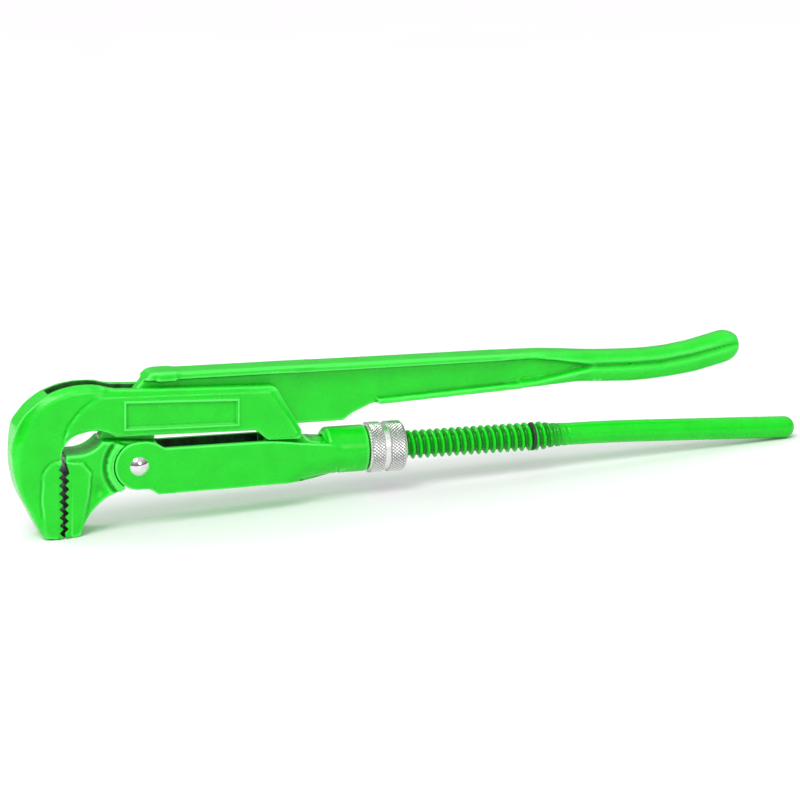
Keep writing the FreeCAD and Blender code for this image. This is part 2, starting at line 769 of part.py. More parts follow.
os.makedirs("parts", exist_ok=True)
for body in pieces:
    body.Shape.exportStep("parts/%s.step" % body.Label)
    print(body.Label, "volume %.0f" % body.Shape.Volume)
print("pivot", rotation.multVec(Vector(0, 0, dim["pivot_rise"].value))
      + Vector(-middle_x, 0, lift - lowest))
print("leg axis", rotation.multVec(Vector(1, 0, 0)), "origin at",
      Vector(-middle_x, 0, lift - lowest))
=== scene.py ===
"""A compound-leverage pipe wrench: forged hook jaw, inner jaw with its handle, frame, knurled nut."""
import json
import math

import bpy
from bpy.props import FloatProperty, FloatVectorProperty, IntProperty, PointerProperty
from mathutils import Matrix, Vector
from mathutils.geometry import intersect_point_line


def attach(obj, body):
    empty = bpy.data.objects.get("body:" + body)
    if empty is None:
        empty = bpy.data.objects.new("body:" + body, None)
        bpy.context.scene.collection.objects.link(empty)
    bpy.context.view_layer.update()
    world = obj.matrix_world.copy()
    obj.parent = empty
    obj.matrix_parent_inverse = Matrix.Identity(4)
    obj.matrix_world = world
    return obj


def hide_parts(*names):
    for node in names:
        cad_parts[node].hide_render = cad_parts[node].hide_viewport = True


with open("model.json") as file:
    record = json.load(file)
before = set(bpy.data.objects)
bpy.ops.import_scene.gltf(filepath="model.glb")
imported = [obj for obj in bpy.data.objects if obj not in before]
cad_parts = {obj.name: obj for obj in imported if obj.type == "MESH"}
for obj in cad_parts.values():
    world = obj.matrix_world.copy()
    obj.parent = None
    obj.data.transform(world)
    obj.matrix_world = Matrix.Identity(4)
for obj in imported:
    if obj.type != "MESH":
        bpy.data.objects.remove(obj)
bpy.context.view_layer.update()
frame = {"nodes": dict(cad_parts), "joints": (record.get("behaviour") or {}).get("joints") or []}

bl_info = {
    "name": "Pipe Wrench",
    "version": (1, 0, 0),
    "blender": (4, 5, 0),
    "location": "3D View > Sidebar > Wrench",
    "description": "Builds the looks of a forged pipe wrench round its packed frame",
    "category": "Object",
}

MM = 0.001


def joint(name):
    return next(item for item in frame["joints"] if item["name"] == name)


# The wrench's own axes: the pivot's foot on the lower leg, along the leg, and up from it.
PIVOT_RISE = 0.7 * MM
LEG_AXIS = Vector(joint("frame_slide")["axis"])
LEG_UP = Vector((-LEG_AXIS.z, 0, LEG_AXIS.x))
LEG_FOOT = Vector(joint("jaw_pivot")["pos_m"]) - LEG_UP * PIVOT_RISE
TOOL = Matrix.Translation(LEG_FOOT) @ Matrix((LEG_AXIS, (0, 1, 0), LEG_UP)).transposed().to_4x4()


# ---- settings ----------------------------------------------------------------------------

class WrenchForging(bpy.types.PropertyGroup):
    """Sizes that shape the three forgings."""
    grain: FloatProperty(
        name="Grain", description="Mesh size of the forged skins",
        default=0.40 * MM, unit="LENGTH", precision=5)
    handle_grain: FloatProperty(
        name="Handle grain", description="Mesh size of the upper handle's skin",
        default=0.46 * MM, unit="LENGTH", precision=5)
    edge_passes: IntProperty(
        name="Edge passes", description="Smoothing passes that break every forged edge",
        default=6, min=1)
    crown_passes: IntProperty(
        name="Crown passes", description="Smoothing passes that round the hook's back",
        default=40, min=1)
    grip_passes: IntProperty(
        name="Grip passes", description="Smoothing passes that round the hand grip",
        default=70, min=1)
    border_width: FloatProperty(
        name="Border width", description="Width of the raised border of the bare panel",
        default=0.8 * MM, unit="LENGTH", precision=5)
    border_height: FloatProperty(
        name="Border height", description="How far the border stands out of the cheek",
        default=0.75 * MM, unit="LENGTH", precision=5)


class WrenchNut(bpy.types.PropertyGroup):
    """Sizes of the knurled adjusting nut."""
    diameter: FloatProperty(
        name="Diameter", description="Across the knurled bands",
        default=19.8 * MM, unit="LENGTH", precision=5)
    front: FloatProperty(
        name="Front", description="Front face, from the pivot along the leg",
        default=91.7 * MM, unit="LENGTH", precision=5)
    length: FloatProperty(
        name="Length", description="Length of the nut",
        default=14.6 * MM, unit="LENGTH", precision=5)
    knurl_count: IntProperty(
        name="Knurls", description="Diamonds round the nut", default=48, min=12)
    knurl_depth: FloatProperty(
        name="Knurl depth", description="Depth of the knurling",
        default=0.34 * MM, unit="LENGTH", precision=5)


class WrenchFinish(bpy.types.PropertyGroup):
    """Colours of the finishes."""
    enamel: FloatVectorProperty(
        name="Enamel", description="Sprayed enamel on the forgings", subtype="COLOR",
        default=(0.004, 0.66, 0.010), min=0, max=1)
    enamel_deep: FloatVectorProperty(
        name="Deep enamel", description="Where the enamel runs thicker", subtype="COLOR",
        default=(0.003, 0.60, 0.008), min=0, max=1)
    # Painted highlight: a pale enamel colour laid along edges in place of reflections, not thin enamel.
    enamel_edge_highlight: FloatVectorProperty(
        name="Enamel on edges", description="Where the enamel is thin over an edge",
        subtype="COLOR", default=(0.10, 0.92, 0.13), min=0, max=1)
    steel: FloatVectorProperty(
        name="Bare steel", description="Ground steel of the teeth", subtype="COLOR",
        default=(0.34, 0.35, 0.35), min=0, max=1)
    plating: FloatVectorProperty(
        name="Plating", description="Bright plating of the nut", subtype="COLOR",
        default=(0.80, 0.80, 0.78), min=0, max=1)
    rubber: FloatVectorProperty(
        name="Rubber", description="Rubber of the stop ring", subtype="COLOR",
        default=(0.010, 0.011, 0.011), min=0, max=1)
    floor: FloatVectorProperty(
        name="Floor", description="Pale floor", subtype="COLOR",
        default=(0.92, 0.885, 0.93), min=0, max=1)


# ---- modelling helpers -------------------------------------------------------------------

def deselect():
    if bpy.context.object and bpy.context.object.mode != "OBJECT":
        bpy.ops.object.mode_set(mode="OBJECT")
    bpy.ops.object.select_all(action="DESELECT")


def pick(piece):
    """Makes piece the only selected object, and the active one."""
    deselect()
    piece.select_set(True)
    bpy.context.view_layer.objects.active = piece


def edit(piece):
    """Opens piece for editing with all of it selected."""
    pick(piece)
    bpy.ops.object.mode_set(mode="EDIT")
    bpy.ops.mesh.select_all(action="SELECT")


def close():
    bpy.ops.object.mode_set(mode="OBJECT")


def place(piece):
    """Puts a piece modelled on the wrench's own axes where it belongs, with its place in its mesh."""
    pick(piece)
    piece.matrix_world = TOOL
    bpy.ops.object.transform_apply(location=True, rotation=True, scale=True)


def forging_copy(node, name):
    """A merged copy of a frame node's skin, on the wrench's own axes."""
    piece = bpy.data.objects.new(name, frame["nodes"][node].data.copy())
    bpy.context.collection.objects.link(piece)
    piece.data.name = name
    piece.data.materials.clear()
    piece.data.transform(TOOL.inverted())
    edit(piece)
    bpy.ops.mesh.remove_doubles(threshold=0.002 * MM)
    close()
    return piece


def cut(piece, along, keep_below):
    """Cuts a piece across the leg at along millimetres and closes the cut."""
    edit(piece)
    bpy.ops.mesh.bisect(
        plane_co=(along * MM, 0, 0), plane_no=(1, 0, 0), use_fill=True,
        clear_outer=keep_below, clear_inner=not keep_below)
    close()


def apply(piece, kind, **values):
    """Adds a modifier to piece and applies it."""
    pick(piece)
    bpy.ops.object.modifier_add(type=kind)
    modifier = piece.modifiers[-1]
    for key, value in values.items():
        setattr(modifier, key, value)
    bpy.ops.object.modifier_apply(modifier=modifier.name)


def ramp(value, low, high):
    """0 at low, 1 at high, with soft ends."""
    share = min(max((value - low) / (high - low), 0), 1)
    return share * share * (3 - 2 * share)


def course(at, points):
    """The value at a place along a line of given (place, value) points."""
    if at <= points[0][0]:
        return points[0][1]
    for (start, low), (end, high) in zip(points, points[1:]):
        if at <= end:
            return low + (high - low) * (at - start) / (end - start)
    return points[-1][1]


def sculpt(piece, move):
    """Moves every point of piece to move(x, y, z), in millimetres on the wrench's axes."""
    for vertex in piece.data.vertices:
        vertex.co = Vector(move(*(vertex.co / MM))) * MM


def carve(piece, low, high):
    """Takes a block between two corners, in millimetres, out of piece."""
    deselect()
    middle = [(a + b) / 2 * MM for a, b in zip(low, high)]
    bpy.ops.mesh.primitive_cube_add(size=1, location=middle)
    block = bpy.context.object
    block.scale = [(b - a) * MM for a, b in zip(low, high)]
    bpy.ops.object.transform_apply(location=True, rotation=True, scale=True)
    apply(piece, "BOOLEAN", operation="DIFFERENCE", solver="EXACT", object=block)
    bpy.data.objects.remove(block)


def soften(piece, name, passes, weight):
    """Smooths piece where weight(x, y, z), in millimetres on the wrench's axes, says so."""
    group = piece.vertex_groups.new(name=name)
    for vertex in piece.data.vertices:
        amount = weight(*(vertex.co / MM))
        if amount > 0.001:
            group.add([vertex.index], amount, "REPLACE")
    apply(piece, "SMOOTH", factor=0.5, iterations=passes, vertex_group=name)
    piece.vertex_groups.clear()


def forge(piece, grain):
    """Gives piece one even closed skin."""
    apply(piece, "REMESH", mode="VOXEL", voxel_size=grain)


def smooth_shade(piece, angle=None):
    pick(piece)
    if angle is None:
        bpy.ops.object.shade_smooth()
    else:
        bpy.ops.object.shade_smooth_by_angle(angle=math.radians(angle))


def turned(name, profile, steps, axis, centre=(0, 0, 0)):
    """A piece turned from a closed profile of points in millimetres, on the wrench's axes."""
    deselect()
    bpy.ops.mesh.primitive_circle_add(vertices=len(profile), radius=MM)
    piece = bpy.context.object
    piece.name = piece.data.name = name
    for vertex, point in zip(piece.data.vertices, profile):
        vertex.co = Vector(point) * MM
    edit(piece)
    bpy.ops.mesh.spin(
        steps=steps, angle=2 * math.pi, center=[value * MM for value in centre], axis=axis)
    bpy.ops.mesh.select_all(action="SELECT")
    bpy.ops.mesh.remove_doubles(threshold=0.001 * MM)
    bpy.ops.mesh.normals_make_consistent(inside=False)
    close()
    return piece


def finish(piece, body, materials):
    """Places a modelled piece, gives it its finish and lets it ride on its body."""
    place(piece)
    if not piece.data.materials:
        for material in materials:
            piece.data.materials.append(material)
    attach(piece, body)


# ---- finishes ----------------------------------------------------------------------------

class Finish:
    """A material and a short way to add nodes to it."""

    def __init__(self, name):
        self.material = bpy.data.materials.new(name)
        self.material.use_nodes = True
        self.nodes = self.material.node_tree.nodes
        self.shader = self.nodes["Principled BSDF"]
        self.place = self.node("ShaderNodeTexCoord").outputs["Object"]

    def node(self, kind, **values):
        node = self.nodes.new(kind)
        for key, value in values.items():
            if key in node.inputs:
                node.inputs[key].default_value = value
            else:
                setattr(node, key, value)
        return node

    def link(self, source, target):
        self.material.node_tree.links.new(source, target)

    def noise(self, size, detail=3.0, stretch=None):
        """Noise whose patches are about size millimetres wide."""
        noise = self.node("ShaderNodeTexNoise", Scale=1.0 / (size * MM), Detail=detail)
        if stretch:
            mapping = self.node("ShaderNodeMapping", Scale=stretch)
            self.link(self.place, mapping.inputs["Vector"])
            self.link(mapping.outputs["Vector"], noise.inputs["Vector"])
        else:
            self.link(self.place, noise.inputs["Vector"])
        return noise.outputs["Fac"]

    def between(self, source, low, high, start=0.3, end=0.7):
        """Maps source from start..end to low..high."""
        span = self.node("ShaderNodeMapRange")
        for key, value in (("From Min", start), ("From Max", end), ("To Min", low), ("To Max", high)):
            span.inputs[key].default_value = value
        self.link(source, span.inputs["Value"])
        return span.outputs["Result"]

    def band(self, source, low, high, start=0.35, end=0.65):
        """Runs from colour low to colour high as source goes from start to end."""
        band = self.node("ShaderNodeValToRGB")
        for stop, place, colour in zip(band.color_ramp.elements, (start, end), (low, high)):
            stop.position = place
            stop.color = (*colour, 1)
        self.link(source, band.inputs["Fac"])
        return band.outputs["Color"]

    def colours(self, source, low, high):
        """Gives the surface a colour that runs from low to high with source."""
        self.paint(self.band(source, low, high))

    def paint(self, colour):
        self.link(colour, self.shader.inputs["Base Color"])

    def mixed(self, amount, first, second):
        """Goes from first to second, each a colour or a socket, as amount goes from 0 to 1."""
        mix = self.node("ShaderNodeMix", data_type="RGBA")
        sockets = [socket for socket in mix.inputs if socket.type == "RGBA"]
        for socket, colour in zip(sockets, (first, second)):
            if isinstance(colour, bpy.types.NodeSocket):
                self.link(colour, socket)
            else:
                socket.default_value = (*colour, 1)
        self.link(amount, mix.inputs["Factor"])
        return next(socket for socket in mix.outputs if socket.type == "RGBA")

    def relief(self, *layers):
        """Bumps the surface by (source, height in millimetres) layers."""
        normal = None
        for source, height in layers:
            bump = self.node("ShaderNodeBump", Strength=1.0, Distance=height * MM)
            self.link(source, bump.inputs["Height"])
            if normal:
                self.link(normal, bump.inputs["Normal"])
            normal = bump.outputs["Normal"]
        self.link(normal, self.shader.inputs["Normal"])

    def constants(self, **values):
        for key, value in values.items():
            self.shader.inputs[key.replace("_", " ")].default_value = value


HOLLOW_SHADE = 0.22
KNURL_SHADES = ((0.06, 0.30), (0.30, 0.42), (0.55, 1.0))   # (height in the knurl, brightness)


def made(name, build):
    """The finish of that name, built once."""
    return bpy.data.materials.get(name) or build(name)


def from_axis(paint):
    """Sockets for how far a point is from the leg's axis, and how far along it."""
    place = paint.node("ShaderNodeMapping", vector_type="TEXTURE", Location=LEG_FOOT,
                       Rotation=(0, math.asin(-LEG_AXIS.z), 0))
    parts = paint.node("ShaderNodeSeparateXYZ")
    flat = paint.node("ShaderNodeVectorMath", operation="MULTIPLY")
    flat.inputs[1].default_value = (0, 1, 1)
    out = paint.node("ShaderNodeVectorMath", operation="LENGTH")
    paint.link(paint.place, place.inputs["Vector"])
    paint.link(place.outputs["Vector"], parts.inputs["Vector"])
    paint.link(place.outputs["Vector"], flat.inputs[0])
    paint.link(flat.outputs["Vector"], out.inputs[0])
    return out.outputs["Value"], parts.outputs["X"]


def gloss(paint, unshaded_share, edge=None):
    """Colours and glosses enamel: the shade mask is 0 in hollows, painted dark as shade, and 1 on open
    surfaces; edge is 1 on edges, painted pale as a highlight.
    """
    colours = bpy.context.scene.wrench_finish
    patches = paint.band(paint.noise(9, 5), colours.enamel_deep, colours.enamel)
    hollow_shade_colour = [HOLLOW_SHADE * part for part in colours.enamel_deep]
    colour = paint.mixed(unshaded_share, hollow_shade_colour, patches)
    if edge:
        colour = paint.mixed(edge, colour, colours.enamel_edge_highlight)
    paint.paint(colour)
    paint.link(paint.between(paint.noise(5, 3), 0.22, 0.36), paint.shader.inputs["Roughness"])
    paint.relief((paint.noise(7, 3), 0.16), (paint.noise(2.0, 2), 0.045),
                 (paint.noise(0.6, 2), 0.006))
    paint.constants(Coat_Weight=0.12, Coat_Roughness=0.08, IOR=1.38)


def enamel():
    """Glossy sprayed enamel: slight orange peel, with painted shade in the hollows and a painted
    highlight over the edges.
    """
    def build(name):
        paint = Finish(name)
        form = paint.node("ShaderNodeNewGeometry").outputs["Pointiness"]
        # Pointiness paints concave places dark as shade and convex edges pale as a highlight.
        gloss(paint, paint.between(form, 0.15, 1.0, 0.46, 0.496),
              paint.between(form, 0.0, 0.8, 0.505, 0.530))
        return paint.material
    return made("sprayed_enamel", build)


def flat_enamel():
    """The same enamel on the sides of the teeth, which carry on the jaws' sides."""
    def build(name):
        paint = Finish(name)
        gloss(paint, paint.between(paint.noise(5, 2), 0.94, 1.0))
        return paint.material
    return made("flat_enamel", build)


def thread_enamel():
    """The same enamel, painted dark as shade in the thread's groove."""
    def build(name):
        paint = Finish(name)
        out, along = from_axis(paint)
        # Painted shade: the thread's groove is darkened by its distance from the axis, the plain bar end
        # is left unshaded.
        groove_unshaded = paint.node("ShaderNodeMath", operation="MAXIMUM")
        paint.link(paint.between(out, 0.12, 1.0, 4.3 * MM, 5.4 * MM), groove_unshaded.inputs[0])
        paint.link(paint.between(along, 0, 1, 164 * MM, 174 * MM), groove_unshaded.inputs[1])
        gloss(paint, groove_unshaded.outputs["Value"])
        return paint.material
    return made("thread_enamel", build)


def thin_enamel():
    """Enamel painted dark as shade in the slots and the inside of the frame."""
    def build(name):
        paint = Finish(name)
        base = bpy.context.scene.wrench_finish.enamel_deep
        # Painted shade: a very dark copy of the enamel stands in for the shade in slots and inside the
        # frame.
        paint.colours(paint.noise(4, 4), [part * 0.05 for part in base], [part * 0.22 for part in base])
        paint.link(paint.between(paint.noise(3, 3), 0.45, 0.65), paint.shader.inputs["Roughness"])
        paint.relief((paint.noise(3, 3), 0.05))
        return paint.material
    return made("thin_enamel", build)


def ground_steel():
    """Bare steel with fine broaching marks along the teeth."""
    def build(name):
        steel = Finish(name)
        base = bpy.context.scene.wrench_finish.steel
        steel.colours(steel.noise(1.5, 4), [0.55 * part for part in base], base)
        steel.link(steel.between(steel.noise(0.8, 3), 0.32, 0.55), steel.shader.inputs["Roughness"])
        steel.relief((steel.noise(0.5, 2, (1, 0.08, 1)), 0.03), (steel.noise(0.35, 2), 0.01))
        steel.constants(Metallic=1.0)
        return steel.material
    return made("ground_steel", build)


def bright_plating():
    """Bright plating with a faint grain, painted dark as shade where the knurl is deep."""
    def build(name):
        plate = Finish(name)
        sizes = bpy.context.scene.wrench_nut
        base = bpy.context.scene.wrench_finish.plating
        out = from_axis(plate)[0]
        radius = sizes.diameter / 2
        depth = plate.between(out, 0.0, 1.0, radius - sizes.knurl_depth, radius)
        # Painted shade: the knurl's grooves darken with their depth.
        shade = plate.node("ShaderNodeValToRGB")
        for place, part in KNURL_SHADES:
            stop = shade.color_ramp.elements.new(place)
            stop.color = (*[part * tone for tone in base], 1)
        for end in (0, -1):
            shade.color_ramp.elements[end].color = (*base, 1)
        plate.link(depth, shade.inputs["Fac"])
        plate.paint(shade.outputs["Color"])
        plate.link(plate.between(plate.noise(1.2, 3), 0.30, 0.46), plate.shader.inputs["Roughness"])
        plate.relief((plate.noise(0.5, 2), 0.003))
        plate.constants(Metallic=1.0)
        return plate.material
    return made("bright_plating", build)


def polished_steel():
    """Polished steel with hair-fine scratches."""
    def build(name):
        steel = Finish(name)
        base = bpy.context.scene.wrench_finish.plating
        steel.colours(steel.noise(2, 3), [0.84 * part for part in base], base)
        steel.link(steel.between(steel.noise(0.9, 4, (1, 1, 0.12)), 0.06, 0.14),
                   steel.shader.inputs["Roughness"])
        steel.relief((steel.noise(0.8, 2), 0.004))
        steel.constants(Metallic=1.0)
        return steel.material
    return made("mirror_steel", build)


def rubber():
    """Black rubber with a dry bloom."""
    def build(name):
        ring = Finish(name)
        base = bpy.context.scene.wrench_finish.rubber
        ring.colours(ring.noise(1.2, 4), base, [part * 2.6 for part in base])
        ring.link(ring.between(ring.noise(0.7, 3), 0.42, 0.62), ring.shader.inputs["Roughness"])
        ring.relief((ring.noise(0.4, 2), 0.01))
        return ring.material
    return made("dry_rubber", build)


def spring_wire():
    """Dark drawn spring wire."""
    def build(name):
        wire = Finish(name)
        wire.colours(wire.noise(1.0, 4), (0.16, 0.15, 0.14), (0.32, 0.31, 0.30))
        wire.link(wire.between(wire.noise(0.5, 3), 0.3, 0.45), wire.shader.inputs["Roughness"])
        wire.relief((wire.noise(0.5, 2, (1, 0.1, 1)), 0.01))
        wire.constants(Metallic=1.0)
        return wire.material
    return made("spring_wire", build)


# ---- pieces ------------------------------------------------------------------------------

SHANK_CUT = 73.0
HALF_WIDTH = 9.0
BACK_ROUND = 3.2      # radius of the hook's back edges
TOOTH_PITCH = 3.1
TOOTH_COUNT = 9
TOOTH_DEPTH = 1.35
JAW_TIP = -25.4
TEETH_TOP = 3.0
HOOK_TIPS = (-29.6, -29.6)
INNER_TIPS = (-29.1, -28.2)
HOOK_BACK = ((-37.5, -25.5), (-47.8, -9.5), (-48.4, 5), (-47.4, 12), (-43.0, 21.6), (-38, 26.4),
             (-32, 30.4), (-25, 32.3), (-18.8, 32.7), (-12, 31.6), (-8, 30.6))


def from_back(x, z):
    """Distance from the hook's back line."""
    point = Vector((x, z))
    best = math.inf
    for start, end in zip(HOOK_BACK, HOOK_BACK[1:]):
        foot, share = intersect_point_line(point, start, end)
        foot = Vector(start if share < 0 else end if share > 1 else foot)
        best = min(best, (point - foot).length)
    return best


def near_teeth(x, z):
    """1 beside the teeth, 0 away from them."""
    return (1 - ramp(abs(x + 29), 2.6, 4.0)) * (1 - ramp(z, TEETH_TOP, TEETH_TOP + 2))


def two_finishes(piece, first, second, where):
    """Gives piece the first finish, and the second on faces that where(centre, normal) picks."""
    piece.data.materials.append(first)
    piece.data.materials.append(second)
    for face in piece.data.polygons:
        if where(face.center / MM, face.normal):
            face.material_index = 1


class WRENCH_OT_hook_jaw(bpy.types.Operator):
    """Forge the hook jaw with its two cheeks"""
    bl_idname = "wrench.hook_jaw"
    bl_label = "Hook Jaw"

    def execute(self, context):
        sizes = context.scene.wrench_forging
        piece = forging_copy("hook_jaw_leg", "hook_jaw_forging")
        cut(piece, SHANK_CUT, keep_below=True)
        carve(piece, (HOOK_TIPS[0] - TOOTH_DEPTH - 0.3, -12, -30), (-20, 12, TEETH_TOP))
        forge(piece, sizes.grain)
        sculpt(piece, self.relief)
        soften(piece, "edges", sizes.edge_passes, lambda x, y, z: 1 - 0.7 * near_teeth(x, z))
        soften(piece, "crown", sizes.crown_passes, self.crown)
        # The slot's walls get the enamel painted dark as shade.
        two_finishes(piece, enamel(), thin_enamel(),
                     lambda at, normal: abs(at.y) < 3.8 and -34 < at.x < 62 and at.z > 4)
        smooth_shade(piece)
        finish(piece, "hook_jaw", [])
        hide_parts("hook_jaw_leg")
        return {"FINISHED"}

    @staticmethod
    def relief(x, y, z):
        """Sinks the flank round the tooth pad and the cheek, and bevels the cheek's edges."""
        side = abs(y)
        if side < 3.6 or x > 66:
            return x, y, z
        crease = -37.7 - 0.047 * z - 0.002 * max(z, 0) ** 2
        pad = x > -37.4 and z < 5.0 - 0.11 * max(-30.5 - x, 0) ** 2
        arc = course(z, ((12, -28.9), (17.8, -27.3), (23.7, -22.4), (28, -16.5), (31, -12.5)))
        cheek = z > 6.5 and x > arc
        sunk = 0
        if cheek:
            over_top = z - (28.3 - 0.02 * (x + 12))
            over_slant = (x - 53.4) * 0.898 + (z - 27) * 0.44
            sunk = 0.5 * max(over_top, over_slant, 0)
            inside = min(x + 4.9, 38.0 - x, z - 15.9 + 0.018 * x, 25.4 - 0.036 * x - z)
            sunk = max(sunk, 0.45 * ramp(inside, -0.2, 0.3))
        elif not pad and side < 8.86:
            sunk = 0.40 + 0.11 * min(max(crease - x, 0), 10)
        sunk = min(sunk, 1.5)
        if x < -10:
            inward = max(BACK_ROUND - from_back(x, z), 0)
            sunk += (BACK_ROUND - math.sqrt(BACK_ROUND ** 2 - inward ** 2)) * (1 - ramp(x, -18, -10))
        side -= sunk * ramp(side, 3.6, 8.5)
        return x, math.copysign(side, y), z

    @staticmethod
    def crown(x, y, z):
        """The hook's back and top are rounded most, the cheeks' top edges a little."""
        if x > -10:
            return 0.16 * ramp(z, 25, 27) * (1 - ramp(x, 62, 66)) * ramp(abs(y), 3.6, 5.2)
        near = from_back(x, z)
        return (1 - ramp(near, 3.0, 5.5)) * (1 - 0.84 * ramp(x, -16, -10)) \
            * (ramp(abs(y), 3.6, 5.2) if x > -36 else 1)


class WRENCH_OT_teeth(bpy.types.Operator):
    """Cut the two rows of teeth"""
    bl_idname = "wrench.teeth"
    bl_label = "Teeth"

    def execute(self, context):
        self.row("hook_jaw_teeth", "hook_jaw", HOOK_TIPS, -1, 0)
        self.row("inner_jaw_teeth", "inner_jaw", INNER_TIPS, 1, TOOTH_PITCH / 2)
        return {"FINISHED"}

    @staticmethod
    def row(name, body, tips, into, shift):
        """A strip across the jaw with saw teeth whose points lie on a line from tips[0] to tips[1]."""
        back = into * (TOOTH_DEPTH + 1.1)
        outline = [(tips[0] + back, JAW_TIP), (tips[0] + into * 0.5, JAW_TIP)]
        for index in range(TOOTH_COUNT):
            share = (index + 0.5) / TOOTH_COUNT
            point = tips[0] + (tips[1] - tips[0]) * share
            low = JAW_TIP + 0.3 + shift + TOOTH_PITCH * index
            if low + TOOTH_PITCH * 0.9 > TEETH_TOP + 0.4:
                break
            outline += [(point, low + 0.1), (point, low + 0.35),
                        (point + into * TOOTH_DEPTH, low + TOOTH_PITCH * 0.5),
                        (point + into * TOOTH_DEPTH, low + TOOTH_PITCH * 0.6)]
        top = TEETH_TOP + 0.3
        outline += [(tips[1] + into * 0.2, top), (tips[1] + back, top)]
        deselect()
        bpy.ops.mesh.primitive_circle_add(vertices=len(outline), radius=MM)
        piece = bpy.context.object
        piece.name = piece.data.name = name
        for vertex, (along, up) in zip(piece.data.vertices, outline):
            vertex.co = Vector((along, -HALF_WIDTH - 0.02, up)) * MM
        edit(piece)
        bpy.ops.mesh.edge_face_add()
        bpy.ops.mesh.extrude_region_move(
            TRANSFORM_OT_translate={"value": (0, 2 * (HALF_WIDTH + 0.02) * MM, 0)})
        bpy.ops.mesh.select_all(action="SELECT")
        bpy.ops.mesh.normals_make_consistent(inside=False)
        close()
        apply(piece, "BEVEL", width=0.10 * MM, segments=2, limit_method="ANGLE")
        two_finishes(piece, flat_enamel(), ground_steel(), lambda at, normal: abs(normal.y) < 0.3)
        smooth_shade(piece, 30)
        finish(piece, body, [])


class WRENCH_OT_threaded_leg(bpy.types.Operator):
    """Make the threaded lower leg with its plain handle end"""
    bl_idname = "wrench.threaded_leg"
    bl_label = "Threaded Leg"

    def execute(self, context):
        piece = forging_copy("hook_jaw_leg", "threaded_leg")
        cut(piece, SHANK_CUT - 1.0, keep_below=False)
        smooth_shade(piece, 38)
        finish(piece, "hook_jaw", [thread_enamel()])
        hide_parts("hook_jaw_leg")
        return {"FINISHED"}


class WRENCH_OT_panel_borders(bpy.types.Operator):
    """Raise the plain border round the bare panel on each cheek"""
    bl_idname = "wrench.panel_borders"
    bl_label = "Panel Borders"

    corners = ((-5.9, 15.0), (39.0, 14.2), (39.1, 24.7), (-5.7, 26.4))
    cheek_half = 9.05

    def execute(self, context):
        sizes = context.scene.wrench_forging
        for name, side in (("panel_border_near", -1), ("panel_border_far", 1)):
            deselect()
            bpy.ops.mesh.primitive_plane_add(size=MM)
            piece = bpy.context.object
            piece.name = piece.data.name = name
            ring = (0, 1, 3, 2)
            for index, (along, up) in zip(ring, self.corners):
                piece.data.vertices[index].co = Vector((along, side * self.cheek_half, up)) * MM
            edit(piece)
            bpy.ops.mesh.inset(thickness=sizes.border_width)
            bpy.ops.mesh.delete(type="FACE")
            bpy.ops.mesh.select_all(action="SELECT")
            bpy.ops.mesh.extrude_region_move(
                TRANSFORM_OT_translate={"value": (0, side * sizes.border_height, 0)})
            bpy.ops.mesh.select_all(action="SELECT")
            bpy.ops.mesh.normals_make_consistent(inside=False)
            close()
            apply(piece, "BEVEL", width=0.16 * MM, segments=3, limit_method="ANGLE")
            smooth_shade(piece, 40)
            finish(piece, "hook_jaw", [enamel()])
        return {"FINISHED"}


